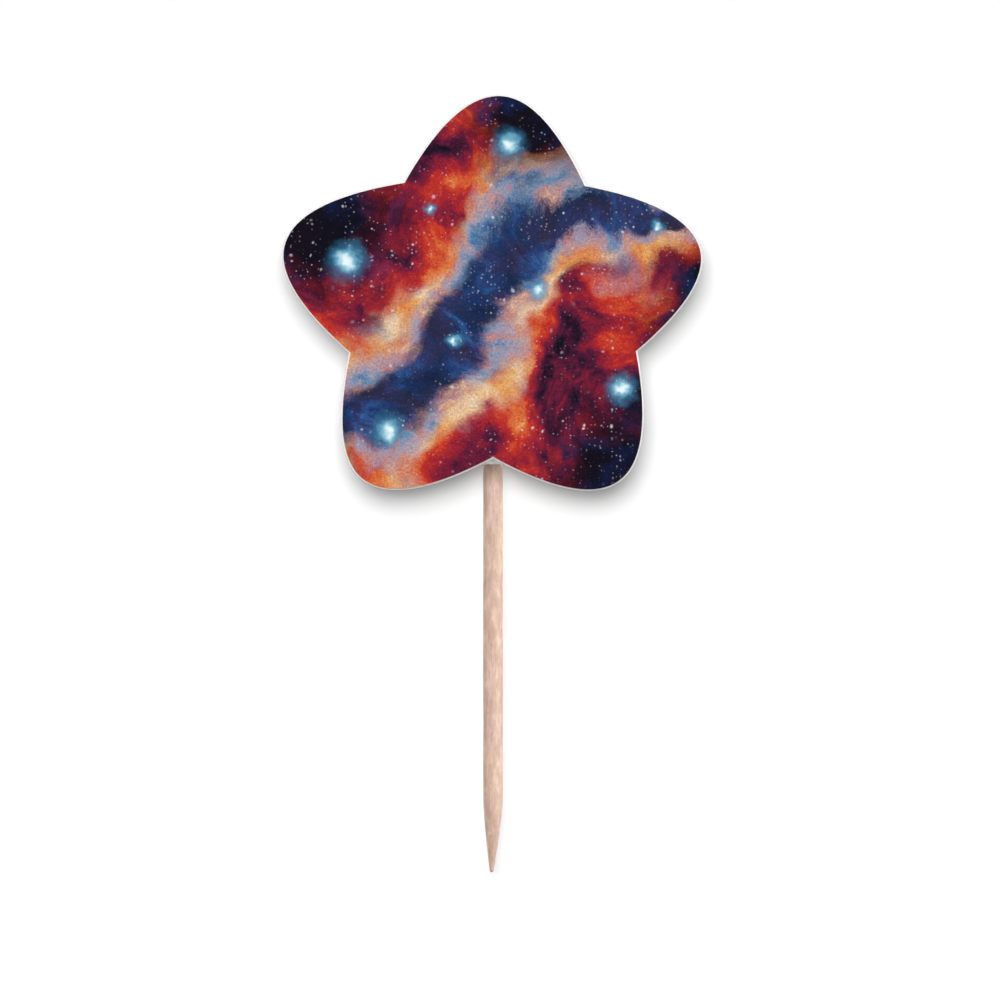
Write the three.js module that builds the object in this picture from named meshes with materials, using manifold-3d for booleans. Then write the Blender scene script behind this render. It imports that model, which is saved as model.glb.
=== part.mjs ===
// A cupcake pick: a printed paper star held on a round wooden stick that is pointed at both ends.
// Sizes are in millimetres. +Z runs up along the stick from its lower tip, and the printed face
// looks towards -Y. Behind the print lie, in order, the white card, a strip of foam tape that the
// stick is pressed into, the stick, and a paper sticker that ties the stick down to the card.

import * as THREE from 'three';
import { mergeVertices } from 'three/addons/utils/BufferGeometryUtils.js';
import Module from 'manifold-3d';

// Stick
const stickLength = 65;
const stickRadius = 1;
const pointLength = 7.3;
const pointFullness = 1.33; // how full the point's sides are, where a plain cone has 1
const tipRadius = 0.2; // roundness of the very tip

// Star card. Its outline runs through five tips and five notches, each given by its distance from
// the star's centre. Between them it follows half a parabola, whose top is the tip
const rightTip = 21.6;
const upperRightNotch = 15.2;
const topTip = 21.05;
const upperLeftNotch = 15.25;
const leftTip = 21.85;
const lowerLeftNotch = 15.25;
const lowerLeftTip = 21.95;
const lowerNotch = 15.45;
const lowerRightTip = 21.85;
const lowerRightNotch = 15.25;
const cardThickness = 0.5;
const stickTuck = 23.6; // length of stick that the card hides, above its lower notch

// Printed sheet
const printThickness = 0.12;
const printMargin = 0.15; // how far the print stops short of the card's cut edge

// Foam tape between card and stick
const foamWidth = 10;
const foamLength = 17;
const foamThickness = 1;
const foamUnderStick = 0.4; // foam left between card and stick where the stick presses it thin
const foamPeek = 0.55; // how far the tape shows below the card's lower notch

// Sticker over stick and foam
const stickerThickness = 0.15;
const stickerCorner = 1.5;
const stickerSlope = 1; // how far out from the foam's side the paper comes down to the card
const stickerRim = 3; // how far the paper lies on the card beyond that, at each side
const stickerInset = 1.5; // how far the foam shows past the sticker at each end

// Gap left round the stick and at the foam's edges
const clearance = 0.03;

// Tips and notches in turn, with their directions in degrees from +X towards +Z. The lower notch
// lies on the stick's axis
const corners = [
  { angle: 15, radius: rightTip },
  { angle: 52.3, radius: upperRightNotch },
  { angle: 88, radius: topTip },
  { angle: 126, radius: upperLeftNotch },
  { angle: 163.8, radius: leftTip },
  { angle: 198.6, radius: lowerLeftNotch },
  { angle: 233.5, radius: lowerLeftTip },
  { angle: 270, radius: lowerNotch },
  { angle: 305.5, radius: lowerRightTip },
  { angle: 341.9, radius: lowerRightNotch },
];

// Faceting
const stickSides = 32;
const tipSteps = 4;
const pointSteps = 10;
const edgeSteps = 16;
const bendSteps = 12;
const cornerSteps = 6;

const finishes = {
  print: { color: 0x8c3b34, roughness: 0.5 },
  card: { color: 0xf3f1ec, roughness: 0.75 },
  foam: { color: 0xf7f5f0, roughness: 0.9 },
  wood: { color: 0xd7b6a2, roughness: 0.8 },
  sticker: { color: 0xfbfaf6, roughness: 0.65 },
};

const wasm = await Module();
wasm.setup();

const fullTurn = 2 * Math.PI;
const smallAngle = 1e-4;
const mergeDistance = 1e-5;

const radians = (degrees) => (degrees * Math.PI) / 180;

// Distance from the star's centre, in a given direction, to the parabola that has its top at a tip
// and passes through a notch
function edgeRadius(tip, notch, angle) {
  const lean = radians(notch.angle - tip.angle);
  const fall = tip.radius - notch.radius * Math.cos(lean);
  const bow = fall / (notch.radius * Math.sin(lean)) ** 2;
  const along = Math.cos(angle - radians(tip.angle));
  const spread = 4 * bow * tip.radius * (1 - along ** 2);
  return (2 * tip.radius) / (along + Math.sqrt(along ** 2 + spread));
}

// Outline of the star, moved in from the card's cut edge by a margin
function starOutline(margin) {
  const points = [];
  corners.forEach((corner, index) => {
    const next = corners[(index + 1) % corners.length];
    const [tip, notch] = index % 2 === 0 ? [corner, next] : [next, corner];
    const start = radians(corner.angle);
    const sweep = (radians(next.angle) - start + fullTurn) % fullTurn;
    for (let step = 0; step < edgeSteps; step += 1) {
      const angle = start + (sweep * step) / edgeSteps;
      const radius = edgeRadius(tip, notch, angle);
      const slope = (edgeRadius(tip, notch, angle + smallAngle) - radius) / (smallAngle * radius);
      const inset = radius - margin * Math.hypot(1, slope);
      points.push(new THREE.Vector2(inset * Math.cos(angle), inset * Math.sin(angle)));
    }
  });
  return points;
}

// Flat plate that stands upright, its outline in X and Z, its back at y = 0 and its front at -Y
function uprightPlate(outline, thickness) {
  const settings = { depth: thickness, bevelEnabled: false, curveSegments: cornerSteps };
  return new THREE.ExtrudeGeometry(outline, settings).rotateX(Math.PI / 2);
}

function toSolid(geometry) {
  const bare = geometry.clone();
  bare.deleteAttribute('normal');
  bare.deleteAttribute('uv');
  const merged = mergeVertices(bare, mergeDistance);
  const mesh = new wasm.Mesh({
    numProp: 3,
    vertProperties: new Float32Array(merged.attributes.position.array),
    triVerts: new Uint32Array(merged.index.array),
  });
  return new wasm.Manifold(mesh);
}

function toGeometry(solid) {
  const mesh = solid.getMesh();
  const geometry = new THREE.BufferGeometry();
  geometry.setAttribute('position', new THREE.BufferAttribute(mesh.vertProperties, 3));
  geometry.setIndex(new THREE.BufferAttribute(mesh.triVerts, 1));
  geometry.computeVertexNormals();
  return geometry;
}

function named(name, geometry, finish) {
  const mesh = new THREE.Mesh(geometry, new THREE.MeshStandardMaterial(finish));
  mesh.name = name;
  return mesh;
}

// Depths, counted along Y from the stick's axis
const cardBack = -stickRadius - foamUnderStick;
const foamBack = cardBack + foamThickness;
const printBack = cardBack - cardThickness;

// Heights, counted from the stick's lower tip
const notchHeight = stickLength - stickTuck;
const starHeight = notchHeight + lowerNotch;
const foamBottom = notchHeight - foamPeek;
const foamMiddle = foamBottom + foamLength / 2;

// Thin sheet with the print, on the front of the card
function makePrint() {
  const outline = new THREE.Shape(starOutline(printMargin));
  const mesh = named('printed_face', uprightPlate(outline, printThickness), finishes.print);
  mesh.position.set(0, printBack, starHeight);
  return mesh;
}

function makeCard() {
  const outline = new THREE.Shape(starOutline(0));
  const mesh = named('star_card', uprightPlate(outline, cardThickness), finishes.card);
  mesh.position.set(0, cardBack, starHeight);
  return mesh;
}

// Foam strip with the groove that the stick presses into its back
function makeFoam() {
  const strip = new THREE.BoxGeometry(foamWidth, foamThickness, foamLength);
  strip.translate(0, (cardBack + foamBack) / 2, foamMiddle);
  const grooveRadius = stickRadius + clearance;
  const groove = new THREE.CylinderGeometry(grooveRadius, grooveRadius, 2 * foamLength, stickSides);
  groove.rotateX(Math.PI / 2).translate(0, 0, foamMiddle);
  const pressed = toSolid(strip).subtract(toSolid(groove));
  return named('foam_tape', toGeometry(pressed), finishes.foam);
}

// Round stick that runs out to a full-sided point with a rounded tip at both ends
function makeStick() {
  const lower = [];
  for (let step = 0; step <= tipSteps; step += 1) {
    const angle = (Math.PI / 2) * (step / tipSteps);
    const height = tipRadius * (1 - Math.cos(angle));
    lower.push(new THREE.Vector2(tipRadius * Math.sin(angle), height));
  }
  for (let step = 1; step <= pointSteps; step += 1) {
    const left = 1 - step / pointSteps;
    const height = pointLength - (pointLength - tipRadius) * left;
    const radius = stickRadius - (stickRadius - tipRadius) * left ** pointFullness;
    lower.push(new THREE.Vector2(radius, height));
  }
  const upper = lower.map((point) => new THREE.Vector2(point.x, stickLength - point.y)).reverse();
  const turned = new THREE.LatheGeometry([...lower, ...upper], stickSides).rotateX(Math.PI / 2);
  return named('stick', turned, finishes.wood);
}

// Line that the sticker's gummed side follows across the stick: from the card at the left, up and
// along the foam, over the stick, and down again at the right
function gummedLine() {
  const bendRadius = stickRadius + clearance;
  const foamEdge = foamWidth / 2;
  const leave = new THREE.Vector2((stickRadius + foamEdge) / 2, foamBack);
  const bendEnd = Math.atan2(leave.y, leave.x) + Math.acos(bendRadius / leave.length());
  const half = [];
  for (let step = 0; step <= bendSteps; step += 1) {
    const angle = Math.PI / 2 + ((bendEnd - Math.PI / 2) * step) / bendSteps;
    half.push(new THREE.Vector2(bendRadius * Math.cos(angle), bendRadius * Math.sin(angle)));
  }
  half.push(leave);
  half.push(new THREE.Vector2(foamEdge + clearance, foamBack));
  half.push(new THREE.Vector2(foamEdge + stickerSlope, cardBack));
  half.push(new THREE.Vector2(foamEdge + stickerSlope + stickerRim, cardBack));
  const mirrored = half.slice(1).map((point) => new THREE.Vector2(-point.x, point.y));
  return [...mirrored.reverse(), ...half];
}

// A line moved sideways by a distance, with mitred corners
function offsetLine(line, distance) {
  const sideways = (from, to) => new THREE.Vector2(from.y - to.y, to.x - from.x).normalize();
  const sides = line.slice(1).map((point, index) => sideways(line[index], point));
  return line.map((point, index) => {
    const arriving = sides[Math.max(index - 1, 0)];
    const leaving = sides[Math.min(index, sides.length - 1)];
    const miter = arriving.clone().add(leaving).normalize();
    return point.clone().addScaledVector(miter, distance / miter.dot(arriving));
  });
}

function roundedRectangle(width, height, radius) {
  const side = width / 2 - radius;
  const top = height / 2 - radius;
  const quarter = fullTurn / 4;
  const shape = new THREE.Shape();
  shape.absarc(side, top, radius, 0, quarter);
  shape.absarc(-side, top, radius, quarter, 2 * quarter);
  shape.absarc(-side, -top, radius, 2 * quarter, 3 * quarter);
  shape.absarc(side, -top, radius, 3 * quarter, 4 * quarter);
  return shape;
}

// Paper sticker draped over stick and foam, cut to a rectangle with rounded corners
function makeSticker() {
  const gummed = gummedLine();
  const section = [...gummed, ...offsetLine(gummed, stickerThickness).reverse()];
  const width = 2 * gummed.at(-1).x;
  const height = foamLength - 2 * stickerInset;
  const settings = { depth: foamLength, bevelEnabled: false };
  const draped = new THREE.ExtrudeGeometry(new THREE.Shape(section), settings);
  draped.translate(0, 0, foamBottom);
  const depth = 4 * (stickRadius + foamThickness);
  const cutter = uprightPlate(roundedRectangle(width, height, stickerCorner), depth);
  cutter.translate(0, depth / 2, foamMiddle);
  const cut = toSolid(draped).intersect(toSolid(cutter));
  return named('backing_sticker', toGeometry(cut), finishes.sticker);
}

const group = new THREE.Group();
group.add(makePrint(), makeCard(), makeFoam(), makeStick(), makeSticker());

export default group;
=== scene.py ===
"""A cupcake pick: a printed paper star on a round wooden stick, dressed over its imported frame.

Lengths are in metres. +Z runs up the stick from its lower tip and the print looks towards -Y.
Patterns are laid out in millimetres, because that is the scale of grain, fibre and print.
"""

import math

import bmesh
import bpy
import numpy as np
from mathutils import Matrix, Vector, noise


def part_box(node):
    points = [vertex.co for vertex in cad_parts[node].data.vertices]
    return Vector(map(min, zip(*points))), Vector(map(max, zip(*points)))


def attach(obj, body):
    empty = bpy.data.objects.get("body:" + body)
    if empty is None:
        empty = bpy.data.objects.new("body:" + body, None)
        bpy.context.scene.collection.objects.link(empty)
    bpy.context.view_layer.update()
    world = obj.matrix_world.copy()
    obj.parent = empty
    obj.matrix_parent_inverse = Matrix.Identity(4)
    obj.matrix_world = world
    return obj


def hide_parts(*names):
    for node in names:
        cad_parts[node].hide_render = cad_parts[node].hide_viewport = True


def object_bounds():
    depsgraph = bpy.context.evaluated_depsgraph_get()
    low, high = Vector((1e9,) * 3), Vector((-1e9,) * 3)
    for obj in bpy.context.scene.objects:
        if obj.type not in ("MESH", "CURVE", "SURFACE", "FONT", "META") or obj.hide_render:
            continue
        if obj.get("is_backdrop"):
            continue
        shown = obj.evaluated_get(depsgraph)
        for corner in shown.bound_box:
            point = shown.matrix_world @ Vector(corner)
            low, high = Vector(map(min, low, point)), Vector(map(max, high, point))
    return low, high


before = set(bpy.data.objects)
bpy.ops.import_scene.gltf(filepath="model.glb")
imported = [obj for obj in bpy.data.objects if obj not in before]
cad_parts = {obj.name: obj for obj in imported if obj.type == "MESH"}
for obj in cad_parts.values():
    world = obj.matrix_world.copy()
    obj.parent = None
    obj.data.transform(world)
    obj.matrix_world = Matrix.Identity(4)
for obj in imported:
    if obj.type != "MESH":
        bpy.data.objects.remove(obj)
cad_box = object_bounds()

MM = 0.001

# Star card: its tips and notches in turn, each with its direction in degrees from +X towards +Z
# and its distance from the star's centre. Even ones are tips
CORNERS = [
    (15.0, 21.6 * MM),
    (52.3, 15.2 * MM),
    (88.0, 21.05 * MM),
    (126.0, 15.25 * MM),
    (163.8, 21.85 * MM),
    (198.6, 15.25 * MM),
    (233.5, 21.95 * MM),
    (270.0, 15.45 * MM),
    (305.5, 21.85 * MM),
    (341.9, 15.25 * MM),
]
EDGE_STEPS = 48
PRINT_MARGIN = 0.15 * MM
CUT_INSET = 0.02 * MM

# Cut edges from back to front: share of the thickness, and inset in millimetres. The card's fray
# is in millimetres too, with features per millimetre
CARD_LEVELS = [
    (0.0, 0.035),
    (0.06, 0.008),
    (0.2, 0),
    (0.4, 0),
    (0.6, 0),
    (0.8, 0),
    (0.92, 0.02),
    (1.0, 0.06),
]
PRINT_LEVELS = [(0.0, 0.0), (0.5, 0.0), (0.85, 0.006), (1.0, 0.025)]
CARD_FRAY = 0.012
FRAY_RATE = 2.5

# Stick
STICK_RADIUS = 1.0 * MM
POINT_LENGTH = 7.3 * MM
POINT_FULLNESS = 1.33
TIP_RADIUS = 0.2 * MM
STICK_SIDES = 88
CAP_RINGS = 7
CAP_START = 0.12
POINT_STEP = 0.3 * MM
SHANK_STEP = 0.4 * MM
POINT_LEAN = -0.15 * MM

# Unevenness of the stick: depth, stretch along it, features per millimetre round it, and seed
GROOVE_DEPTH = 0.022 * MM
GROOVE_STRETCH = 0.06
GROOVE_RATE = 2.6
GROOVE_SEED = 4
WAVE_DEPTH = 0.02 * MM
WAVE_STRETCH = 0.2
WAVE_RATE = 0.4
WAVE_SEED = 9

# Foam tape: cells of its mesh across, through and up it, and how its edges and its skin give way
FOAM_CELLS = (110, 9, 160)
EDGE_DIP = 0.05 * MM
DIP_REACH = 0.3 * MM
DENT_DEPTH = 0.06 * MM
DENT_RATE = 4.0
DENT_SEED = 2
SKIN_TOLERANCE = 1e-7

# Paper that is draped over stick and foam
STICKER_CORNER = 1.5 * MM
STICKER_THICKNESS = 0.135 * MM
STICKER_SLOPE = 1.0 * MM
STICKER_COLUMNS = 240
STICKER_ROWS = 96
STICKER_LAYERS = 2
CLEARANCE = 0.03 * MM
BEND_SOFTNESS = 0.165 * MM
BEND_WANDER = 0.8 * MM
BEND_SEED = 3
LANDING_WANDER = 0.3 * MM
LANDING_SEED = 8
WANDER_RATE = 0.25
SIDES_APART = 20
PAPER_WAVE = 0.012 * MM
PAPER_WAVE_RATE = 0.45
CORNER_LIFT = 0.5 * MM
CORNER_REACH = 4.2 * MM

# Where the sticker's paper puckers: place across it, share of the way up it, width and length of
# the pucker, and height
PUCKERS = [
    (-2.4 * MM, 1.0, 0.42 * MM, 2.8 * MM, 0.17 * MM),
    (1.9 * MM, 1.0, 0.36 * MM, 1.8 * MM, 0.12 * MM),
    (2.5 * MM, 0.0, 0.45 * MM, 2.6 * MM, 0.16 * MM),
    (-1.8 * MM, 0.0, 0.34 * MM, 1.6 * MM, 0.11 * MM),
    (5.9 * MM, 1.0, 0.45 * MM, 1.6 * MM, 0.1 * MM),
    (-5.8 * MM, 0.4, 0.35 * MM, 1.8 * MM, 0.07 * MM),
]

# Bend, in degrees, from which an edge is shaded as sharp
SHARP_CUT = 40
SHARP_FOLD = 50

# Camera: the photograph is square to the print and takes in a square of this side
FRAME_WIDTH = 100 * MM
FRAME_CENTRE = (0.7 * MM, 37.3 * MM)
CAMERA_DISTANCE = 1.0
SENSOR_WIDTH = 36

# Stage: a grey wall close behind the pick, and a white floor some way below it. The wall looks
# white, because it has a strong lamp of its own. As it is dark, light thrown on it by the card's
# lit back hardly shows. Lift is how much each glows where it is seen
WALL_DEPTH = 1.5 * MM
FLOOR_HEIGHT = -22 * MM
STAGE_SIZE = 4.0
WALL_TONE = 0.25
WALL_LIFT = 0.19
FLOOR_TONE = 1.0
FLOOR_LIFT = 0.2
WORLD_LIGHT = 0.12

# Lamps: degrees round from the front towards +X, elevation, strength, and spread in degrees
KEY_LAMP = (-5, 23, 2.75, 42)
WALL_LAMP = (-5, 22, 8.05, 50)
FOAM_LAMP = (0, 20, 0.6, 30)
RIGHT_FILL = (86, 5, 1.5, 40)
LEFT_FILL = (-92, 5, 0.7, 40)
BACK_LAMP = (185, 24, 2.65, 36)
RAKING_LAMP = (205, 30, 2.8, 24)

# Lamps for stick and foam alone: the two sides they come from, each with its share of the light,
# and at each side their elevation, their strength and whether they cast a shadow
STICK_LAMP_SIDES = ((38, 0.6), (-34, 0.4))
STICK_LAMPS = (("steep", 53, 3.55, True), ("open", 20, 1.0, False))
STICK_LAMP_SPREAD = 30


def box_of(node):
    """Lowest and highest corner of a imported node, as arrays."""
    low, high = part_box(node)
    return np.array(low), np.array(high)


CARD_LOW, CARD_HIGH = box_of("star_card")
SHEET_LOW, SHEET_HIGH = box_of("printed_face")
FOAM_LOW, FOAM_HIGH = box_of("foam_tape")
STICK_LOW, STICK_HIGH = box_of("stick")
STICKER_LOW, STICKER_HIGH = box_of("backing_sticker")


# Outline of the star


def edge_radius(tip, notch, angle):
    """Distance from the star's centre to the half parabola from a tip to a notch."""
    lean = math.radians(notch[0] - tip[0])
    bow = (tip[1] - notch[1] * math.cos(lean)) / (notch[1] * math.sin(lean)) ** 2
    along = math.cos(angle - math.radians(tip[0]))
    spread = 4 * bow * tip[1] * (1 - along**2)
    return 2 * tip[1] / (along + math.sqrt(along**2 + spread))


def outline_samples():
    """Angle, radius and slope of each point round the star's cut edge."""
    samples = []
    small = 1e-4
    for index, corner in enumerate(CORNERS):
        following = CORNERS[(index + 1) % len(CORNERS)]
        tip, notch = (corner, following) if index % 2 == 0 else (following, corner)
        start = math.radians(corner[0])
        sweep = (math.radians(following[0]) - start) % math.tau
        for step in range(EDGE_STEPS):
            angle = start + sweep * step / EDGE_STEPS
            radius = edge_radius(tip, notch, angle)
            slope = (edge_radius(tip, notch, angle + small) - radius) / (small * radius)
            samples.append((angle, radius, slope))
    return np.array(samples)


OUTLINE = outline_samples()
STAR_HEIGHT = CARD_LOW[2] - min(OUTLINE[:, 1] * np.sin(OUTLINE[:, 0]))


def star_ring(inset, depth):
    """Points round the star at a depth, moved in from the cut edge by one inset or one for each."""
    angle, radius, slope = OUTLINE.T
    reach = radius - inset * np.hypot(1, slope)
    x = reach * np.cos(angle)
    z = STAR_HEIGHT + reach * np.sin(angle)
    return np.stack([x, np.full_like(x, depth), z], axis=1)


# Meshes


def new_piece(name, vertices, faces, materials, face_materials=None):
    """A mesh object in the frame, with its faces turned outwards."""
    mesh = bpy.data.meshes.new(name)
    mesh.from_pydata([tuple(v) for v in vertices], [], faces)
    for material in materials:
        mesh.materials.append(material)
    if face_materials is not None:
        mesh.polygons.foreach_set("material_index", face_materials)
    work = bmesh.new()
    work.from_mesh(mesh)
    bmesh.ops.recalc_face_normals(work, faces=work.faces)
    many_sided = [face for face in work.faces if len(face.verts) > 4]
    bmesh.ops.triangulate(work, faces=many_sided)
    work.to_mesh(mesh)
    work.free()
    mesh.polygons.foreach_set("use_smooth", [True] * len(mesh.polygons))
    piece = bpy.data.objects.new(name, mesh)
    bpy.context.scene.collection.objects.link(piece)
    return piece


def sharpen(piece, degrees):
    """Marks the edges that bend by more than an angle as sharp."""
    work = bmesh.new()
    work.from_mesh(piece.data)
    for edge in work.edges:
        if len(edge.link_faces) == 2 and edge.calc_face_angle() > math.radians(degrees):
            edge.smooth = False
    work.to_mesh(piece.data)
    work.free()


def stacked_rings(rings):
    """Vertices and faces of a closed body that joins rings of equally many points."""
    count = len(rings[0])
    vertices = np.concatenate(rings)
    faces = [list(range(count))]
    for level in range(len(rings) - 1):
        for index in range(count):
            following = (index + 1) % count
            below = level * count
            above = below + count
            faces.append([below + index, below + following, above + following, above + index])
    top = (len(rings) - 1) * count
    faces.append(list(range(top, top + count)))
    return vertices, faces


def block_surface(place, columns, rows, layers):
    """Vertices and faces of the skin of a block of cells, each corner put where place says."""
    index = {}
    vertices = []
    faces = []

    def corner(i, j, k):
        if (i, j, k) not in index:
            index[i, j, k] = len(vertices)
            vertices.append(place(i / columns, j / rows, k / layers))
        return index[i, j, k]

    def add_face(*corners):
        faces.append([corner(*cell) for cell in corners])

    for i in range(columns):
        for j in range(rows):
            for k in (0, layers):
                add_face((i, j, k), (i + 1, j, k), (i + 1, j + 1, k), (i, j + 1, k))
    for i in range(columns):
        for k in range(layers):
            for j in (0, rows):
                add_face((i, j, k), (i + 1, j, k), (i + 1, j, k + 1), (i, j, k + 1))
    for j in range(rows):
        for k in range(layers):
            for i in (0, columns):
                add_face((i, j, k), (i, j + 1, k), (i, j + 1, k + 1), (i, j, k + 1))
    return vertices, faces


# How far apart the noises of two seeds are taken, for meshes and for materials
MESH_SEED_STEP = (7.1, 3.7, 5.3)
NODE_SEED_STEP = (1.0, 1.7, 0.6)


def unevenness(points, scale, seed):
    """Smooth noise from 0 to 1 at points in metres, with features of 1 / scale millimetres."""
    shift = Vector([seed * step for step in MESH_SEED_STEP])
    places = [Vector(point) * (scale / MM) + shift for point in points]
    return np.array([0.5 + 0.5 * noise.noise(place) for place in places])


# Nodes


def srgb(red, green, blue):
    """A colour as it is seen on a screen, from 0 to 255, as the linear colour of a node."""

    def linear(value):
        value /= 255
        return value / 12.92 if value <= 0.04045 else ((value + 0.055) / 1.055) ** 2.4

    return (linear(red), linear(green), linear(blue), 1)


# Sockets of a mix node that carry colours
MIX_FIRST = 6
MIX_SECOND = 7
MIX_RESULT = 2


class Nodes:
    """Adds nodes to a tree. For a socket, a plain value is set and another socket is linked."""

    def __init__(self, tree):
        self.tree = tree

    def add(self, kind, sockets=None, **settings):
        """Adds a node of a kind, with values for its sockets and its settings."""
        node = self.tree.nodes.new(kind)
        for name, value in settings.items():
            setattr(node, name, value)
        for name, value in (sockets or {}).items():
            self.feed(node.inputs[name], value)
        return node

    def feed(self, socket, value):
        """Links a socket to another, or sets a value on it."""
        if isinstance(value, bpy.types.NodeSocket):
            self.tree.links.new(value, socket)
        else:
            socket.default_value = value

    def math(self, operation, *values):
        """Arithmetic on numbers."""
        node = self.tree.nodes.new("ShaderNodeMath")
        node.operation = operation
        for socket, value in zip(node.inputs, values):
            self.feed(socket, value)
        return node.outputs[0]

    def vector_math(self, operation, *values, scale=None):
        """Arithmetic on vectors. Only a distance comes out as a number."""
        node = self.tree.nodes.new("ShaderNodeVectorMath")
        node.operation = operation
        for socket, value in zip(node.inputs, values):
            self.feed(socket, value)
        if scale is not None:
            self.feed(node.inputs["Scale"], scale)
        return node.outputs["Value" if operation == "DISTANCE" else "Vector"]

    def mix(self, factor, first, second, blend="MIX"):
        """Mixes two colours."""
        node = self.tree.nodes.new("ShaderNodeMix")
        node.data_type = "RGBA"
        node.blend_type = blend
        node.clamp_result = False
        self.feed(node.inputs["Factor"], factor)
        self.feed(node.inputs[MIX_FIRST], first)
        self.feed(node.inputs[MIX_SECOND], second)
        return node.outputs[MIX_RESULT]

    def ramp(self, factor, stops):
        """A colour ramp from (position, colour) stops, the last of which may be at any height."""
        reach = stops[-1][0]
        node = self.tree.nodes.new("ShaderNodeValToRGB")
        elements = node.color_ramp.elements
        while len(elements) < len(stops):
            elements.new(0.5)
        for element, (position, color) in zip(elements, stops):
            element.position = position / reach
            element.color = color
        self.feed(node.inputs[0], self.math("DIVIDE", factor, reach))
        return node.outputs[0]

    def noise(self, place, scale, detail=2.0, roughness=0.5, seed=0, output="Fac"):
        """Noise round 0.5. With another seed it is taken from far away, so that it differs."""
        if seed:
            shift = tuple(seed * step for step in NODE_SEED_STEP)
            place = self.vector_math("ADD", place, shift)
        sockets = {"Vector": place, "Scale": scale, "Detail": detail, "Roughness": roughness}
        return self.add("ShaderNodeTexNoise", sockets).outputs[output]

    def span(self, value, low, high, to_low=0.0, to_high=1.0, smooth=True):
        """Maps a range to another, held at its ends."""
        kind = "SMOOTHSTEP" if smooth else "LINEAR"
        sockets = {
            "Value": value,
            "From Min": low,
            "From Max": high,
            "To Min": to_low,
            "To Max": to_high,
        }
        return self.add("ShaderNodeMapRange", sockets, interpolation_type=kind).outputs["Result"]

    def stretched(self, place, scale):
        """Place scaled by its own factor along each axis."""
        return self.vector_math("MULTIPLY", place, scale)

    def turned(self, place, angle, axis):
        """Place turned by an angle round an axis."""
        sockets = {"Vector": place, "Angle": angle}
        node = self.add("ShaderNodeVectorRotate", sockets, rotation_type=axis + "_AXIS")
        return node.outputs[0]


def millimetres(nodes, centre=(0, 0, 0)):
    """The place on the object in millimetres from a centre given in metres."""
    place = nodes.add("ShaderNodeTexCoord").outputs["Object"]
    moved = nodes.vector_math("SUBTRACT", place, centre)
    return nodes.vector_math("SCALE", moved, scale=1 / MM)


def new_material(name):
    """A material with a Principled shader, as its nodes and that shader."""
    material = bpy.data.materials.new(name)
    material.use_nodes = True
    nodes = Nodes(material.node_tree)
    shader = material.node_tree.nodes["Principled BSDF"]
    return material, nodes, shader


def new_group(name, inputs, outputs):
    """A shader node group with named sockets, as the group, its nodes, its input and its output."""
    group = bpy.data.node_groups.new(name, "ShaderNodeTree")
    for label, kind, value in inputs:
        socket = group.interface.new_socket(label, in_out="INPUT", socket_type=kind)
        if value is not None:
            socket.default_value = value
    for label, kind in outputs:
        group.interface.new_socket(label, in_out="OUTPUT", socket_type=kind)
    nodes = Nodes(group)
    return group, nodes, nodes.add("NodeGroupInput").outputs, nodes.add("NodeGroupOutput").inputs


def placed(nodes, group, sockets):
    """A group placed in a tree with its own values, as its outputs."""
    node = nodes.tree.nodes.new("ShaderNodeGroup")
    node.node_tree = group
    for label, value in sockets.items():
        nodes.feed(node.inputs[label], value)
    return node.outputs


def bump(nodes, height, depth):
    """A normal from a height of 0 to 1 that stands for a real depth in metres."""
    return nodes.add("ShaderNodeBump", {"Height": height, "Distance": depth}).outputs["Normal"]


# Effects that several materials share


# Angles that the fibres lie at, how round noise is stretched to draw them, and how much of the
# height comes from the fibres and from clumps of them
FIBRE_ANGLES = (0.3, 1.35, 2.4)
FIBRE_STRETCH = (2.0, 9.0, 11.0)
FIBRE_SHARE = 0.8
CLUMP_SHARE = 0.3


def build_fibre_group():
    """Matted fibres of paper and board: a height, and a tint round 0.5."""
    inputs = [
        ("Place", "NodeSocketVector", None),
        ("Fineness", "NodeSocketFloat", 1.0),
        ("Seed", "NodeSocketFloat", 0.0),
    ]
    outputs = [("Height", "NodeSocketFloat"), ("Tint", "NodeSocketFloat")]
    group, nodes, given, result = new_group("paper_fibre", inputs, outputs)
    place = nodes.vector_math("SCALE", given["Place"], scale=given["Fineness"])
    place = nodes.vector_math("ADD", place, given["Seed"])
    strands = []
    for angle in FIBRE_ANGLES:
        long_strands = nodes.stretched(nodes.turned(place, angle, "Y"), FIBRE_STRETCH)
        strands.append(nodes.noise(long_strands, 1.0, detail=2, roughness=0.6))
    matted = nodes.math("MAXIMUM", nodes.math("MAXIMUM", strands[0], strands[1]), strands[2])
    clumps = nodes.noise(place, 1.3, detail=3, roughness=0.6)
    fine = nodes.math("MULTIPLY", matted, FIBRE_SHARE)
    coarse = nodes.math("MULTIPLY", clumps, CLUMP_SHARE)
    nodes.feed(result["Height"], nodes.math("ADD", fine, coarse))
    nodes.feed(result["Tint"], clumps)
    return group


# The print. Its lengths are in millimetres and its colours are as seen on a screen

NIGHT = (6, 6, 20)
INK = (38, 16, 38)
PLUM = (84, 24, 54)
CRIMSON = (148, 32, 50)
VERMILION = (198, 52, 38)
AMBER = (218, 112, 60)
GOLD = (228, 166, 96)
CREAM = (234, 204, 168)
ROSE = (184, 132, 134)
MIST = (164, 158, 178)
SKY = (88, 146, 184)
ROYAL = (32, 80, 142)
DEEP = (18, 42, 92)
ABYSS = (12, 24, 58)

SKY_SEED = 58
PRINT_GLOSS = 0.03
PRINT_RELIEF = 0.003 * MM

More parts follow.
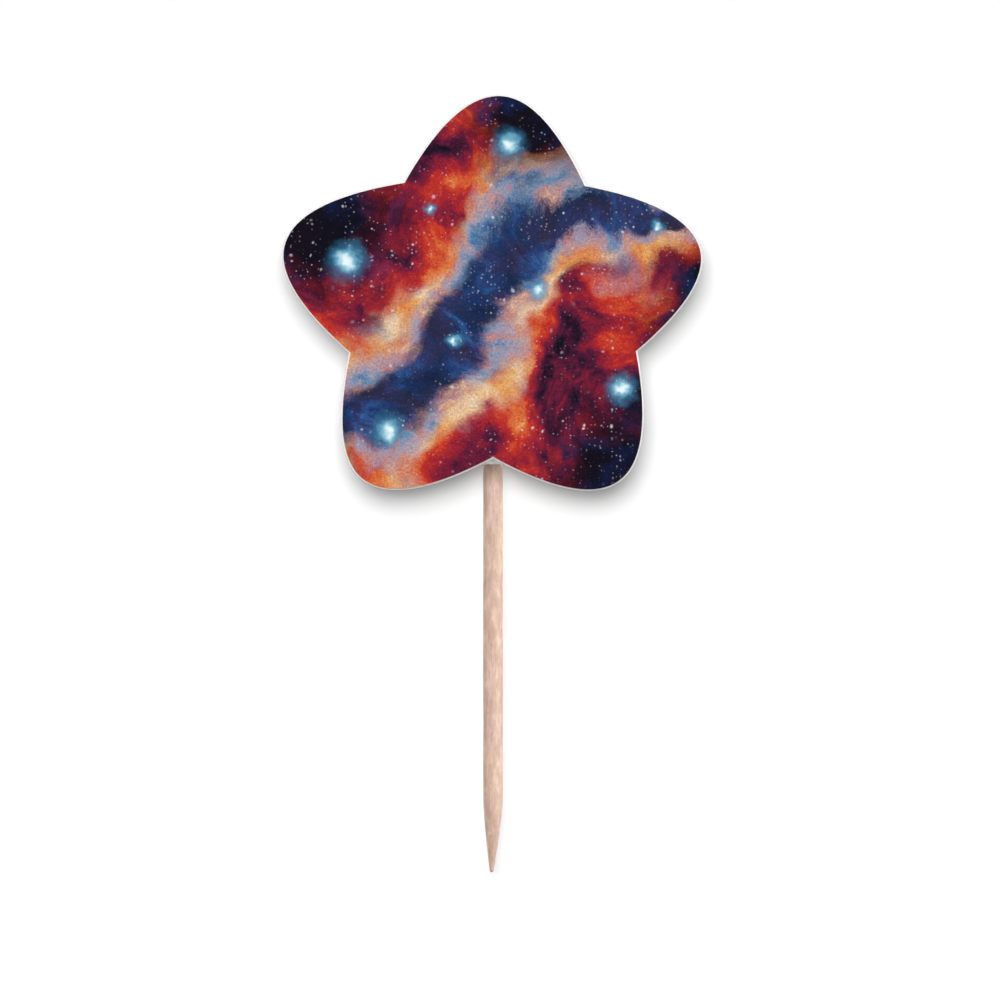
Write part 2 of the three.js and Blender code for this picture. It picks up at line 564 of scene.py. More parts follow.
# The river runs up from the lower left in a slow bend. Reach is counted across it from its middle,
# in half widths: the banks are brightest at their crest and fade over their breadth
RIVER_TURN = math.radians(-33)
RIVER_SWING = 4.0
RIVER_RATE = 0.16
RIVER_PHASE = 0.6
RIVER_WIDTHS = (2.5, 5.2)
BANK_CREST = 1.35
BANK_BREADTH = 0.6

# How thick the clouds are: shares of their three noises, and what is taken off
BILLOW_SHARE = 2.0
WISP_SHARE = 0.8
MOTTLE_SHARE = 0.6
CLOUD_THINNING = -1.37

# Open dark sky between the clouds: place right of and above the star's centre, and radius
OPENINGS = [
    (-18.5, 9.0, 10.5),
    (14.0, -18.0, 10.0),
    (5.0, 20.5, 10.0),
    (21.5, -0.5, 8.0),
    (-19.0, -13.5, 5.5),
]

# Bright stars: place right of and above the star's centre, radius of the halo and of the core
BRIGHT_STARS = [
    (-14.6, 4.4, 2.0, 0.42),
    (1.6, 16.0, 1.7, 0.36),
    (-10.4, -12.6, 1.8, 0.38),
    (12.8, -8.4, 1.6, 0.35),
    (4.6, 1.4, 1.1, 0.24),
    (-3.8, -3.6, 0.9, 0.2),
    (16.4, 7.6, 0.8, 0.18),
    (-6.2, 9.6, 0.7, 0.16),
]

# Layers of small stars: cells per millimetre, radius, share of cells that are empty, and brightness
SPECKS = [
    (0.5, 0.24, 0.72, 1.0),
    (1.0, 0.15, 0.6, 0.8),
    (2.4, 0.1, 0.5, 0.45),
]
SPECK_APART = 40
SPECK_COLOR = (236, 232, 246)

# Colours of a bright star from its rim inwards
HALO_COLOR = (62, 132, 172)
GLOW_COLOR = (144, 204, 224)
CORE_COLOR = (236, 250, 255)

# Tones that each layer of the print runs through, with the noise value at which it has each
CLOUD_TONES = [
    (0, NIGHT),
    (0.14, INK),
    (0.3, PLUM),
    (0.55, CRIMSON),
    (0.8, VERMILION),
    (1.05, AMBER),
    (1.3, GOLD),
]
HAZE_TONES = [(0.3, ROYAL), (0.4, SKY), (0.48, MIST), (0.55, ROSE), (0.68, CREAM), (1, CREAM)]
RIVER_TONES = [(0.38, ABYSS), (0.54, DEEP), (0.66, ROYAL), (0.76, SKY), (1, SKY)]
BANK_TONES = [(0.32, AMBER), (0.46, GOLD), (0.6, CREAM), (1, CREAM)]
DARK_TONES = [(0.46, NIGHT), (0.57, ABYSS), (0.68, DEEP), (1, DEEP)]

# Noises of the print: features per millimetre, detail, roughness and seed
CLOUD_BILLOWS = (0.15, 3, 0.5, 31)
CLOUD_WISPS = (0.6, 4, 0.6, 57)
CLOUD_MOTTLE = (1.7, 3, 0.65, 71)
HAZE_MOTTLE = (0.32, 5, 0.58, 53)
HAZE_BREADTH = (0.14, 2, 0.5, 83)
RIVER_RIPPLE = (0.3, 4, 0.6, 97)
RIVER_SWELL = (0.09, 1, 0.5, 11)
BANK_MOTTLE = (0.34, 4, 0.55, 131)
BANK_PATCHES = (0.12, 2, 0.5, 149)
DARK_MOTTLE = (0.2, 4, 0.6, 163)
DARK_FRINGE = (0.35, 4, 0.6, 181)
STAR_CROWDS = (0.36, 3, 0.6, 211)
PRINT_GRAIN = (4.5, 2, 0.6)

# Drifts that stir the print's layout: features per millimetre, push in millimetres, detail, seed
LAYOUT_BEND = (0.07, 8.0, 1, SKY_SEED)
LAYOUT_SWIRL = (0.2, 4.0, 2, SKY_SEED)
EDGE_FRINGE = (0.8, 1.6, 3)
EDGE_DUST = (7.0, 1.1, 1)
STAR_RAGGEDNESS = (0.7, 1.8, 3)
SPECK_SCATTER = (0.4, 0.8, 1)


def build_specks_group():
    """Small stars scattered at random over a plane, few of them bright."""
    inputs = [
        ("Place", "NodeSocketVector", None),
        ("Per Millimetre", "NodeSocketFloat", 1.0),
        ("Radius", "NodeSocketFloat", 0.1),
        ("Empty Share", "NodeSocketFloat", 0.5),
    ]
    group, nodes, given, result = new_group("star_specks", inputs, [("Light", "NodeSocketFloat")])
    sockets = {"Vector": given["Place"], "Scale": given["Per Millimetre"], "Randomness": 1.0}
    cells = nodes.add("ShaderNodeTexVoronoi", sockets, voronoi_dimensions="2D", feature="F1")
    chance = nodes.add("ShaderNodeSeparateColor", {"Color": cells.outputs["Color"]}).outputs
    shown = nodes.math("POWER", nodes.span(chance[0], given["Empty Share"], 1.0, smooth=False), 1.6)
    distance = nodes.math("DIVIDE", cells.outputs["Distance"], given["Per Millimetre"])
    radius = nodes.math("MULTIPLY", given["Radius"], nodes.math("MULTIPLY_ADD", shown, 0.8, 0.5))
    nearness = nodes.span(nodes.math("DIVIDE", distance, radius), 1.0, 0.1)
    nodes.feed(result["Light"], nodes.math("MULTIPLY", nearness, shown))
    return group


def drifted(nodes, place, scale, push, detail, seed=0):
    """The place pushed about by noise, so that what is drawn there swirls."""
    swirl = nodes.noise(place, scale, detail, 0.6, seed, output="Color")
    centred = nodes.vector_math("SUBTRACT", swirl, (0.5, 0.5, 0.5))
    return nodes.vector_math("ADD", place, nodes.vector_math("SCALE", centred, scale=push))


def toned(nodes, value, tones):
    """A colour that runs through tones, given as (value, tone), as a value rises."""
    return nodes.ramp(value, [(at, srgb(*tone)) for at, tone in tones])


def river_reach(nodes, place, width):
    """Distance from the middle of the river, in half widths of it."""
    turned = nodes.turned(place, RIVER_TURN, "Z")
    lines = nodes.add("ShaderNodeSeparateXYZ", {"Vector": turned}).outputs
    phase = nodes.math("SINE", nodes.math("MULTIPLY_ADD", lines["X"], RIVER_RATE, RIVER_PHASE))
    offset = nodes.math("MULTIPLY_ADD", phase, -RIVER_SWING, lines["Y"])
    return nodes.math("DIVIDE", nodes.math("ABSOLUTE", offset), width)


def paint_clouds(nodes, swirl, dusty, reach):
    """Red clouds, brightest beside the river and thinning out to dark sky."""
    billow = nodes.noise(swirl, *CLOUD_BILLOWS)
    wisps = nodes.noise(dusty, *CLOUD_WISPS)
    mottle = nodes.noise(dusty, *CLOUD_MOTTLE)
    near = nodes.span(reach, 3.8, 1.2, 0.0, 0.58, smooth=False)
    density = nodes.math("MULTIPLY_ADD", billow, BILLOW_SHARE, CLOUD_THINNING)
    density = nodes.math("MULTIPLY_ADD", wisps, WISP_SHARE, density)
    density = nodes.math("MULTIPLY_ADD", mottle, MOTTLE_SHARE, density)
    density = nodes.math("ADD", density, near)
    return toned(nodes, density, CLOUD_TONES)


def paint_haze(nodes, swirl, dusty, reach, color):
    """Pale haze over the river and its shores, mottled rose, grey and blue."""
    haze = toned(nodes, nodes.noise(dusty, *HAZE_MOTTLE), HAZE_TONES)
    breadth = nodes.span(nodes.noise(swirl, *HAZE_BREADTH), 0.36, 0.62, 1.3, 2.2)
    share = nodes.span(reach, breadth, 0.9, 0.0, 0.92)
    return nodes.mix(share, color, haze)


def paint_river(nodes, dusty, reach, color):
    """Deep blue in the middle of the river, with brighter patches."""
    blue = toned(nodes, nodes.noise(dusty, *RIVER_RIPPLE), RIVER_TONES)
    return nodes.mix(nodes.span(reach, 0.82, 0.4, 0.0, 0.96), color, blue)


def paint_banks(nodes, swirl, dusty, reach, color):
    """Gold and cream where river and clouds meet, in places thin."""
    gold = toned(nodes, nodes.noise(dusty, *BANK_MOTTLE), BANK_TONES)
    patches = nodes.span(nodes.noise(swirl, *BANK_PATCHES), 0.38, 0.54, 0.1, 1.0)
    from_crest = nodes.math("ABSOLUTE", nodes.math("SUBTRACT", reach, BANK_CREST))
    share = nodes.math("MULTIPLY", nodes.span(from_crest, BANK_BREADTH, 0.0), patches)
    return nodes.mix(share, color, gold)


def paint_openings(nodes, swirl, dusty, color):
    """Dark sky, and here and there deep blue in it."""
    sky = toned(nodes, nodes.noise(dusty, *DARK_MOTTLE), DARK_TONES)
    ragged = nodes.math("MULTIPLY_ADD", nodes.noise(dusty, *DARK_FRINGE), 0.9, -0.45)
    for x, z, radius in OPENINGS:
        reach = nodes.math("DIVIDE", nodes.vector_math("DISTANCE", swirl, (x, z, 0)), radius)
        reach = nodes.math("ADD", reach, ragged)
        color = nodes.mix(nodes.span(reach, 1.1, 0.35, 0.0, 0.995), color, sky)
    return color


def paint_stars(nodes, flat, specks, color):
    """Bright stars with blue halos, and three sizes of specks that gather in places."""
    ragged = drifted(nodes, flat, *STAR_RAGGEDNESS)
    for x, z, halo, core in BRIGHT_STARS:
        reach = nodes.vector_math("DISTANCE", ragged, (x, z, 0))
        rim = nodes.span(reach, 1.35 * halo, 0.3 * halo, 0.0, 0.85)
        glow = nodes.span(reach, 0.8 * halo, core, 0.0, 0.9)
        bright = nodes.span(reach, 2.2 * core, 0.4 * core)
        color = nodes.mix(rim, color, srgb(*HALO_COLOR))
        color = nodes.mix(glow, color, srgb(*GLOW_COLOR))
        color = nodes.mix(bright, color, srgb(*CORE_COLOR))
    crowd = nodes.span(nodes.noise(flat, *STAR_CROWDS), 0.42, 0.64, 0.06, 1.0)
    scattered = drifted(nodes, flat, *SPECK_SCATTER)
    for density, radius, empty, light in SPECKS:
        place = nodes.vector_math("ADD", scattered, (SPECK_APART * density, 0, 0))
        sockets = {
            "Place": place,
            "Per Millimetre": density,
            "Radius": radius,
            "Empty Share": empty,
        }
        spots = placed(nodes, specks, sockets)["Light"]
        share = nodes.math("MULTIPLY", spots, nodes.math("MULTIPLY", crowd, light))
        color = nodes.mix(share, color, srgb(*SPECK_COLOR))
    return color


def build_sky_group(specks):
    """The printed picture: a deep blue river in pale haze, red clouds and open dark sky."""
    inputs = [("Place", "NodeSocketVector", None)]
    group, nodes, given, result = new_group("printed_sky", inputs, [("Color", "NodeSocketColor")])
    parts = nodes.add("ShaderNodeSeparateXYZ", {"Vector": given["Place"]}).outputs
    flat = nodes.add("ShaderNodeCombineXYZ", {"X": parts["X"], "Y": parts["Z"]}).outputs[0]
    bent = drifted(nodes, flat, *LAYOUT_BEND)
    swirl = drifted(nodes, bent, *LAYOUT_SWIRL)
    fringe = drifted(nodes, swirl, *EDGE_FRINGE)
    dusty = drifted(nodes, fringe, *EDGE_DUST)

    width = nodes.span(nodes.noise(swirl, *RIVER_SWELL), 0.36, 0.62, *RIVER_WIDTHS)
    reach = river_reach(nodes, dusty, width)
    color = paint_clouds(nodes, swirl, dusty, reach)
    color = paint_haze(nodes, swirl, dusty, reach, color)
    color = paint_banks(nodes, swirl, dusty, reach, color)
    color = paint_river(nodes, dusty, reach, color)
    color = paint_openings(nodes, swirl, dusty, color)
    grain = nodes.span(nodes.noise(flat, *PRINT_GRAIN), 0.25, 0.75, 0.68, 1.25, smooth=False)
    color = nodes.mix(1.0, color, grain, "MULTIPLY")
    nodes.feed(result["Color"], paint_stars(nodes, flat, specks, color))
    return group


def make_print_material(fibre):
    """Coated paper with the picture on it, nearly without gloss."""
    material, nodes, shader = new_material("printed_paper")
    place = millimetres(nodes, (0, 0, STAR_HEIGHT))
    sky = build_sky_group(build_specks_group())
    color = placed(nodes, sky, {"Place": place})["Color"]
    weave = placed(nodes, fibre, {"Place": place, "Fineness": 1.6, "Seed": 3.0})
    nodes.feed(shader.inputs["Base Color"], color)
    nodes.feed(shader.inputs["Roughness"], nodes.span(weave["Tint"], 0.3, 0.7, 0.5, 0.62))
    shader.inputs["Specular IOR Level"].default_value = PRINT_GLOSS
    nodes.feed(shader.inputs["Normal"], bump(nodes, weave["Height"], PRINT_RELIEF))
    return material


# White board of the card and white paper of the sticker: tone between the fibres and on them
BOARD_TONES = ((233, 230, 229), (246, 243, 242))
LABEL_TONES = ((239, 237, 234), (250, 249, 247))
PAPER_GLOSS = 0.25
BOARD_RELIEF = 0.012 * MM
LABEL_RELIEF = 0.008 * MM

# Foam: tone in its cells and on the walls between them, cells per millimetre, and depth of relief
FOAM_TONES = ((228, 225, 221), (246, 244, 241))
FOAM_CELL_RATE = 6.0
FOAM_RELIEF = 0.04 * MM

# Wood: tones of its mottle with the noise value at which it has each, and of fibres and pores
STRAW_TONES = [
    (0.3, (206, 172, 150)),
    (0.5, (224, 192, 169)),
    (0.68, (242, 213, 190)),
    (1, (244, 215, 192)),
]
PINK_TONES = [
    (0.3, (200, 164, 149)),
    (0.5, (219, 184, 168)),
    (0.68, (240, 208, 193)),
    (1, (242, 210, 195)),
]
FIBRE_COLOR = (180, 144, 126)
PORE_COLOR = (158, 124, 108)
WOOD_GLOSS = 0.4
WOOD_RELIEF = 0.03 * MM

# Wood: how its grain wavers, as a drift, and its noises' features per millimetre along X, Y and Z
GRAIN_WAVER = (0.7, 0.5, 2)
MOTTLE_STRETCH = (1.5, 1.5, 0.5)
BLUSH_STRETCH = (0.8, 0.8, 0.22)
FIBRE_GRAIN = (6.5, 6.5, 0.4)
PORE_GRAIN = (9, 9, 1.3)


def make_board_material(name, fibre, tones, depth, fineness, seed):
    """White paper or board, whose tone varies a little with its fibres."""
    material, nodes, shader = new_material(name)
    place = millimetres(nodes)
    weave = placed(nodes, fibre, {"Place": place, "Fineness": fineness, "Seed": seed})
    shade = nodes.span(weave["Height"], 0.45, 0.8)
    nodes.feed(shader.inputs["Base Color"], nodes.mix(shade, srgb(*tones[0]), srgb(*tones[1])))
    nodes.feed(shader.inputs["Roughness"], nodes.span(weave["Tint"], 0.3, 0.7, 0.72, 0.88))
    shader.inputs["Specular IOR Level"].default_value = PAPER_GLOSS
    nodes.feed(shader.inputs["Normal"], bump(nodes, weave["Height"], depth))
    return material


def make_foam_material():
    """White closed-cell foam: round cells of about a sixth of a millimetre."""
    material, nodes, shader = new_material("foam_cells")
    place = millimetres(nodes)
    sockets = {"Vector": place, "Scale": FOAM_CELL_RATE}
    cells = nodes.add("ShaderNodeTexVoronoi", sockets, feature="F1")
    walls = nodes.span(cells.outputs["Distance"], 0.1, 0.7)
    color = nodes.mix(walls, srgb(*FOAM_TONES[0]), srgb(*FOAM_TONES[1]))
    nodes.feed(shader.inputs["Base Color"], color)
    nodes.feed(shader.inputs["Roughness"], nodes.span(walls, 0, 1, 0.95, 0.8))
    nodes.feed(shader.inputs["Normal"], bump(nodes, walls, FOAM_RELIEF))
    return material


def make_wood_material():
    """Pale birch: a mottle of pink and straw along the grain, wavering fibres and short pores."""
    material, nodes, shader = new_material("birch_wood")
    place = drifted(nodes, millimetres(nodes), *GRAIN_WAVER)
    mottle = nodes.noise(nodes.stretched(place, MOTTLE_STRETCH), 1.0, 4, 0.6)
    straw = toned(nodes, mottle, STRAW_TONES)
    pink = toned(nodes, mottle, PINK_TONES)
    blush = nodes.noise(nodes.stretched(place, BLUSH_STRETCH), 1.0, 2, 0.5, seed=7)
    color = nodes.mix(nodes.span(blush, 0.42, 0.58), straw, pink)
    fibres = nodes.noise(nodes.stretched(place, FIBRE_GRAIN), 1.0, 3, 0.6, seed=3)
    color = nodes.mix(nodes.span(fibres, 0.32, 0.55, 0.35, 0), color, srgb(*FIBRE_COLOR))
    pores = nodes.noise(nodes.stretched(place, PORE_GRAIN), 1.0, 2, 0.5, seed=11)
    color = nodes.mix(nodes.span(pores, 0.64, 0.74, 0, 0.5), color, srgb(*PORE_COLOR))
    nodes.feed(shader.inputs["Base Color"], color)
    nodes.feed(shader.inputs["Roughness"], nodes.span(fibres, 0.3, 0.7, 0.58, 0.44))
    shader.inputs["Specular IOR Level"].default_value = WOOD_GLOSS
    nodes.feed(shader.inputs["Normal"], bump(nodes, fibres, WOOD_RELIEF))
    return material


# Pieces


def make_card(material):
    """Die-cut card, its front edge pressed round by the die and its cut frayed a little."""
    front, back = CARD_LOW[1], CARD_HIGH[1]
    rings = []
    for seed, (share, inset) in enumerate(CARD_LEVELS):
        depth = back + share * (front - back)
        fray = unevenness(star_ring(0, depth), FRAY_RATE, seed)
        rings.append(star_ring(CUT_INSET + (inset + CARD_FRAY * fray) * MM, depth))
    vertices, faces = stacked_rings(rings)
    piece = new_piece("star_card_board", vertices, faces, [material])
    sharpen(piece, SHARP_CUT)
    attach(piece, "root")
    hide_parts("star_card")
    return piece


def make_print(print_material, edge_material):
    """Printed sheet on the card's front: the print on its face, bare paper round its cut edge."""
    front, back = SHEET_LOW[1], SHEET_HIGH[1]
    rings = []
    for share, inset in PRINT_LEVELS:
        depth = back + share * (front - back)
        rings.append(star_ring(CUT_INSET + PRINT_MARGIN + inset * MM, depth))
    vertices, faces = stacked_rings(rings)
    face_materials = [1] * (len(faces) - 1) + [0]
    materials = [print_material, edge_material]
    piece = new_piece("printed_sheet", vertices, faces, materials, face_materials)
    sharpen(piece, SHARP_CUT)
    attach(piece, "root")
    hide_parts("printed_face")
    return piece


def stick_radius_at(height, length):
    """Radius of the stick's plain shape: a full-sided point with a rounded tip at both ends."""
    distance = min(height, length - height)
    if distance < TIP_RADIUS:
        return math.sqrt(max(TIP_RADIUS**2 - (TIP_RADIUS - distance) ** 2, 0))
    if distance < POINT_LENGTH:
        left = (POINT_LENGTH - distance) / (POINT_LENGTH - TIP_RADIUS)
        return STICK_RADIUS - (STICK_RADIUS - TIP_RADIUS) * left**POINT_FULLNESS
    return STICK_RADIUS


def make_stick(material):
    """Turned stick, a little uneven, with fine grooves along it and points cut off centre."""
    length = STICK_HIGH[2] - STICK_LOW[2]
    cap = TIP_RADIUS * (1 - np.cos(np.linspace(CAP_START, 1, CAP_RINGS) * math.pi / 2))
    point = np.arange(2 * TIP_RADIUS, POINT_LENGTH, POINT_STEP)
    shank = np.arange(POINT_LENGTH, length - POINT_LENGTH, SHANK_STEP)
    heights = np.concatenate([cap, point, shank, length - point[::-1], length - cap[::-1]])
    angles = np.arange(STICK_SIDES) * math.tau / STICK_SIDES
    around = np.stack([np.cos(angles), np.sin(angles), np.zeros(STICK_SIDES)], axis=1) * MM
    rings = []
    for height in heights:
        plain = stick_radius_at(height, length)
        reach = plain / STICK_RADIUS
        groove_places = around + np.array([0, 0, height * GROOVE_STRETCH])
        wave_places = around * WAVE_RATE + np.array([0, 0, height * WAVE_STRETCH])
        grooves = unevenness(groove_places, GROOVE_RATE, GROOVE_SEED)
        waves = unevenness(wave_places, 1.0, WAVE_SEED)
        radius = plain - (GROOVE_DEPTH * grooves + WAVE_DEPTH * waves) * reach
        x = radius * np.cos(angles) + POINT_LEAN * (1 - reach)
        y = radius * np.sin(angles)
        rings.append(np.stack([x, y, np.full(STICK_SIDES, height)], axis=1))
    vertices, faces = stacked_rings(rings)
    piece = new_piece("wooden_stick", vertices, faces, [material])
    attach(piece, "root")
    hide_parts("stick")
    return piece


def foam_back_at(x):
    """Depth of the foam's back at a distance from the stick's axis: flat, with a pressed groove."""
    groove = STICK_RADIUS + CLEARANCE
    flat = FOAM_HIGH[1]
    if abs(x) < groove:
        pressed = -math.sqrt(groove**2 - x**2)
        if pressed < flat:
            return pressed - EDGE_DIP * (pressed + groove) / (flat + groove)
    edge = math.sqrt(groove**2 - flat**2)
    return flat - EDGE_DIP * math.exp(-(abs(x) - edge) / DIP_REACH)


def make_foam(material):
    """Foam strip, soft at its edges, pressed thin under the stick."""
    low, high = FOAM_LOW, FOAM_HIGH
    size = high - low

    def place(across, through, up):
        x = low[0] + size[0] * across
        y = low[1] + (foam_back_at(x) - low[1]) * through
        return np.array([x, y, low[2] + size[2] * up])

    vertices, faces = block_surface(place, *FOAM_CELLS)
    vertices = np.array(vertices)
    dents = unevenness(vertices, DENT_RATE, DENT_SEED)
    middle = (low + high) / 2
    on_skin = np.abs(np.abs(vertices - middle) - size / 2) < SKIN_TOLERANCE
    inward = np.sign(middle - vertices) * on_skin
    inward[:, 1] = 0
    vertices = vertices + inward * dents[:, None] * DENT_DEPTH
    piece = new_piece("foam_tape_strip", vertices, faces, [material])
    sharpen(piece, SHARP_FOLD)
    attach(piece, "root")
    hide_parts("foam_tape")
    return piece


def wander(side, z, seed):
    """How a bend of the sticker strays on its way up, from -1 to 1, for the left or right side."""
    return noise.noise(Vector((SIDES_APART * side, seed, z * WANDER_RATE / MM)))


def draped_depth(x, z):
    """Depth of the sticker's gummed side at a place: over the stick, to the foam, to the card."""
    distance = abs(x)
    side = math.copysign(1, x)
    bend = STICK_RADIUS + CLEARANCE
    flat = FOAM_HIGH[1]
    edge = FOAM_HIGH[0]
    leave = (STICK_RADIUS + edge) / 2 + BEND_WANDER * wander(side, z, BEND_SEED)
    lean = math.atan2(flat, leave) + math.acos(bend / math.hypot(leave, flat))
    touch = bend * math.cos(lean)
    landing = edge + STICKER_SLOPE + LANDING_WANDER * wander(side, z, LANDING_SEED)
    if distance < touch:
        return math.sqrt(bend**2 - distance**2)
    if distance < leave:
        share = (distance - touch) / (leave - touch)
        return bend * math.sin(lean) * (1 - share) + flat * share
    if distance < edge + CLEARANCE:
        return flat
    if distance < landing:
        share = (distance - edge - CLEARANCE) / (landing - edge - CLEARANCE)
        return flat * (1 - share) + CARD_HIGH[1] * share
    return CARD_HIGH[1]


def softened(line, spacing):
    """A line of depths with its bends made soft."""
    reach = round(3 * BEND_SOFTNESS / spacing)
    offsets = np.arange(-reach, reach + 1) * spacing
    weights = np.exp(-0.5 * (offsets / BEND_SOFTNESS) ** 2)
    return np.convolve(np.pad(line, reach, mode="edge"), weights / weights.sum(), mode="valid")


def paper_lift(x, z):
    """How far the sticker stands off what it covers: puckers, a loose corner and a slight wave."""
    low, high = STICKER_LOW, STICKER_HIGH
    lift = PAPER_WAVE * (0.5 + 0.5 * noise.noise(Vector((x, 0, z)) * (PAPER_WAVE_RATE / MM)))
    for across, share, width, length, height in PUCKERS:
        along = z - low[2] - share * (high[2] - low[2])
        lift += height * math.exp(-(((x - across) / width) ** 2) - (along / length) ** 2)
    from_corner = (x - low[0]) + (z - low[2])
    return lift + CORNER_LIFT * max(1 - from_corner / CORNER_REACH, 0) ** 2


def make_sticker(material):
    """Paper sticker draped over stick and foam, with soft bends and a few small lifts."""
    low, high = STICKER_LOW, STICKER_HIGH
    xs = np.linspace(low[0], high[0], STICKER_COLUMNS + 1)
    lines = []
    for z in np.linspace(low[2], high[2], STICKER_ROWS + 1):
        sharp = np.array([draped_depth(x, z) for x in xs])
        lines.append(np.maximum(softened(sharp, xs[1] - xs[0]), CARD_HIGH[1]))
    lines = np.array(lines)
    slopes = np.gradient(lines, xs, axis=1)
    middle = (low[2] + high[2]) / 2
    straight = (high[2] - low[2]) / 2 - STICKER_CORNER

    def place(across, through, up):
        column = round(across * STICKER_COLUMNS)
        row = round(up * STICKER_ROWS)
        x = xs[column]
        overhang = max(abs(x) - (high[0] - STICKER_CORNER), 0)
        reach = straight + math.sqrt(max(STICKER_CORNER**2 - overhang**2, 0))
        z = middle + reach * (2 * up - 1)
        out = STICKER_THICKNESS * through + paper_lift(x, z)
        slope = slopes[row, column]
        steep = math.hypot(slope, 1)
        return np.array([x - out * slope / steep, lines[row, column] + out / steep, z])

    vertices, faces = block_surface(place, STICKER_COLUMNS, STICKER_LAYERS, STICKER_ROWS)
    piece = new_piece("paper_sticker", vertices, faces, [material])
    sharpen(piece, SHARP_FOLD)
    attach(piece, "root")
    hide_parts("backing_sticker")
    return piece


# Stage, light and camera


def seen_by_eye(nodes):
    """1 on rays that show the background: straight to the camera, mirrored or through glass."""
    path = nodes.add("ShaderNodeLightPath").outputs
    mirrored = nodes.math("MAXIMUM", path["Is Glossy Ray"], path["Is Transmission Ray"])
    return nodes.math("MAXIMUM", path["Is Camera Ray"], mirrored)


def make_stage_material(name, tone, lift):
    """A grey of some tone that catches soft shadows and glows a little where it is seen.

    From behind it is clear.
    """
    material = bpy.data.materials.new(name)
    material.use_nodes = True
    tree = material.node_tree
    tree.nodes.clear()
    nodes = Nodes(tree)
    diffuse = nodes.add("ShaderNodeBsdfDiffuse", {"Color": (tone, tone, tone, 1)})
    strength = nodes.math("MULTIPLY", seen_by_eye(nodes), lift)
    glow = nodes.add("ShaderNodeEmission", {"Strength": strength})
    front = nodes.add("ShaderNodeAddShader")
    tree.links.new(diffuse.outputs[0], front.inputs[0])
    tree.links.new(glow.outputs[0], front.inputs[1])
    clear = nodes.add("ShaderNodeBsdfTransparent")
    behind = nodes.add("ShaderNodeNewGeometry").outputs["Backfacing"]
    sides = nodes.add("ShaderNodeMixShader", {"Fac": behind})
    tree.links.new(front.outputs[0], sides.inputs[1])
    tree.links.new(clear.outputs[0], sides.inputs[2])
    output = nodes.add("ShaderNodeOutputMaterial")
    tree.links.new(sides.outputs[0], output.inputs["Surface"])
    return material


def make_stage():
    """A wall behind the pick that faces the camera, and a floor below. Returns the wall."""
    planes = []
    half = STAGE_SIZE / 2
    square = [(-half, -half), (half, -half), (half, half), (-half, half)]
    wall_corners = [(x, WALL_DEPTH, z) for x, z in square]
    floor_corners = [(x, y, FLOOR_HEIGHT) for x, y in square]
    for name, corners, tone, lift in (
        ("wall", wall_corners, WALL_TONE, WALL_LIFT),
        ("floor", floor_corners, FLOOR_TONE, FLOOR_LIFT),
    ):
        mesh = bpy.data.meshes.new(name)
        mesh.from_pydata(corners, [], [(0, 1, 2, 3)])
        mesh.materials.append(make_stage_material(name + "_backdrop", tone, lift))
        plane = bpy.data.objects.new(name, mesh)
        bpy.context.scene.collection.objects.link(plane)
        plane.visible_shadow = False
        plane.visible_diffuse = False
        plane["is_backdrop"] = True
        planes.append(plane)
    return planes[0]


def make_world():
    """Plain white surroundings: a dim light on the object, full white where they are seen."""
    world = bpy.data.worlds.new("studio")
    bpy.context.scene.world = world
    world.use_nodes = True
    nodes = Nodes(world.node_tree)
    background = world.node_tree.nodes["Background"]
    strength = nodes.span(seen_by_eye(nodes), 0, 1, WORLD_LIGHT, 1.0, smooth=False)
    nodes.feed(background.inputs["Strength"], strength)
    background.inputs["Color"].default_value = (1, 1, 1, 1)


def make_sun(name, side, height, strength, spread, shadow=True):
    """A wide soft lamp. Side is its angle round from the front towards +X, height its elevation."""
    light = bpy.data.lights.new(name, "SUN")
    light.energy = strength
    light.angle = math.radians(spread)
    light.use_shadow = shadow
    lamp = bpy.data.objects.new(name, light)
    side = math.radians(side)
    height = math.radians(height)
    flat = math.cos(height)
    away = Vector((math.sin(side) * flat, -math.cos(side) * flat, math.sin(height)))
    lamp.rotation_euler = away.to_track_quat("Z", "Y").to_euler()
    bpy.context.scene.collection.objects.link(lamp)
    return lamp


def collected(name, pieces):
    """A collection of pieces that a lamp can be linked to."""
    collection = bpy.data.collections.new(name)
    for piece in pieces:
        collection.objects.link(piece)
    return collection


def all_but(name, pieces):
    """A collection that links a lamp to everything except some pieces."""
    collection = collected(name, pieces)
    for member in collection.collection_objects:
        member.light_linking.link_state = "EXCLUDE"
    return collection


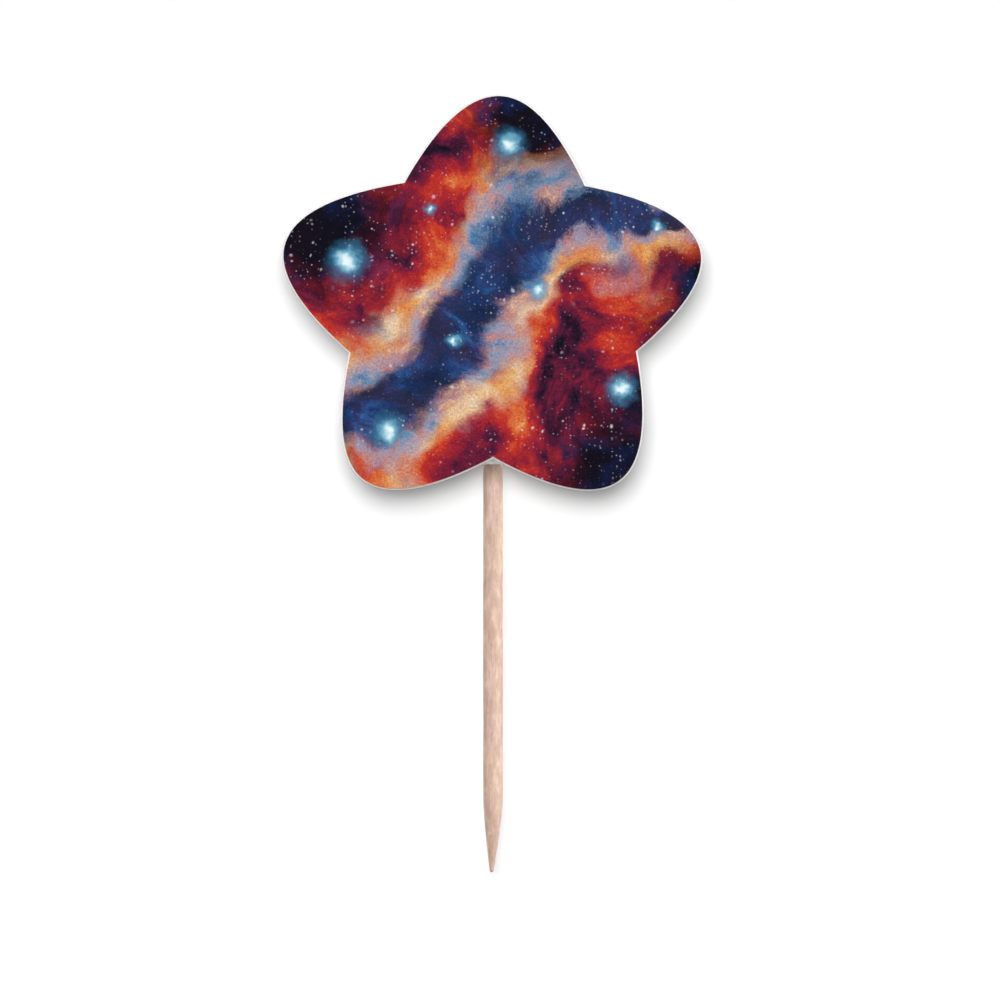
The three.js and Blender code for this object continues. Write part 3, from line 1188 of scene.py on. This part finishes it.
def make_lights(wall, card, sheet, foam, stick, sticker):
    """Soft lamps: from the front, from both sides and from behind.

    The dark wall has a strong lamp of its own, so that it looks white and the star's shadow shows
    on it. Stick and foam, which reach out from behind the star, have front lamps of their own: at
    each side a steep one and a low one without shadow, and for the foam one more. The sticker has
    one of its own behind that rakes across it, so that its folds show.
    """
    star = collected("star_pieces", [card, sheet, foam, sticker])
    behind_star = [stick, foam]
    key = make_sun("key", *KEY_LAMP)
    key.light_linking.blocker_collection = star
    key.light_linking.receiver_collection = all_but("all_but_stick_and_foam", behind_star)
    wall_key = make_sun("wall_key", *WALL_LAMP)
    wall_key.light_linking.blocker_collection = star
    wall_key.light_linking.receiver_collection = collected("only_the_wall", [wall])
    only_behind = collected("only_stick_and_foam", behind_star)
    for side, share in STICK_LAMP_SIDES:
        for name, height, strength, shadow in STICK_LAMPS:
            lamp = make_sun(name, side, height, share * strength, STICK_LAMP_SPREAD, shadow)
            lamp.light_linking.blocker_collection = star
            lamp.light_linking.receiver_collection = only_behind
    foam_open = make_sun("foam_open", *FOAM_LAMP, shadow=False)
    foam_open.light_linking.receiver_collection = collected("only_foam", [foam])
    make_sun("right_fill", *RIGHT_FILL, shadow=False)
    make_sun("left_fill", *LEFT_FILL, shadow=False)
    back = make_sun("back", *BACK_LAMP)
    back.light_linking.receiver_collection = all_but("all_but_the_sticker", [sticker])
    rake = make_sun("back_rake", *RAKING_LAMP)
    rake.light_linking.receiver_collection = collected("only_the_sticker", [sticker])


def make_camera():
    """A camera far off, square to the print, that takes in what the photograph shows."""
    camera = bpy.data.cameras.new("camera")
    camera.sensor_width = SENSOR_WIDTH
    camera.lens = SENSOR_WIDTH * CAMERA_DISTANCE / FRAME_WIDTH
    holder = bpy.data.objects.new("camera", camera)
    holder.location = (FRAME_CENTRE[0], SHEET_LOW[1] - CAMERA_DISTANCE, FRAME_CENTRE[1])
    holder.rotation_euler = (math.pi / 2, 0, 0)
    bpy.context.scene.collection.objects.link(holder)
    bpy.context.scene.camera = holder


def main():
    """Builds the dressed pick, its stage, its lamps and the camera."""
    fibre = build_fibre_group()
    board = make_board_material("white_board", fibre, BOARD_TONES, BOARD_RELIEF, 1.0, 1.0)
    paper = make_board_material("label_paper", fibre, LABEL_TONES, LABEL_RELIEF, 1.4, 8.0)
    card = make_card(board)
    sheet = make_print(make_print_material(fibre), board)
    foam = make_foam(make_foam_material())
    stick = make_stick(make_wood_material())
    sticker = make_sticker(paper)
    wall = make_stage()
    make_world()
    make_lights(wall, card, sheet, foam, stick, sticker)
    make_camera()
    bpy.context.scene.view_settings.view_transform = "Standard"


main()

boxes = {"cad": cad_box, "visual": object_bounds()}
{name: [list(map(float, corner)) for corner in corners] for name, corners in boxes.items()}
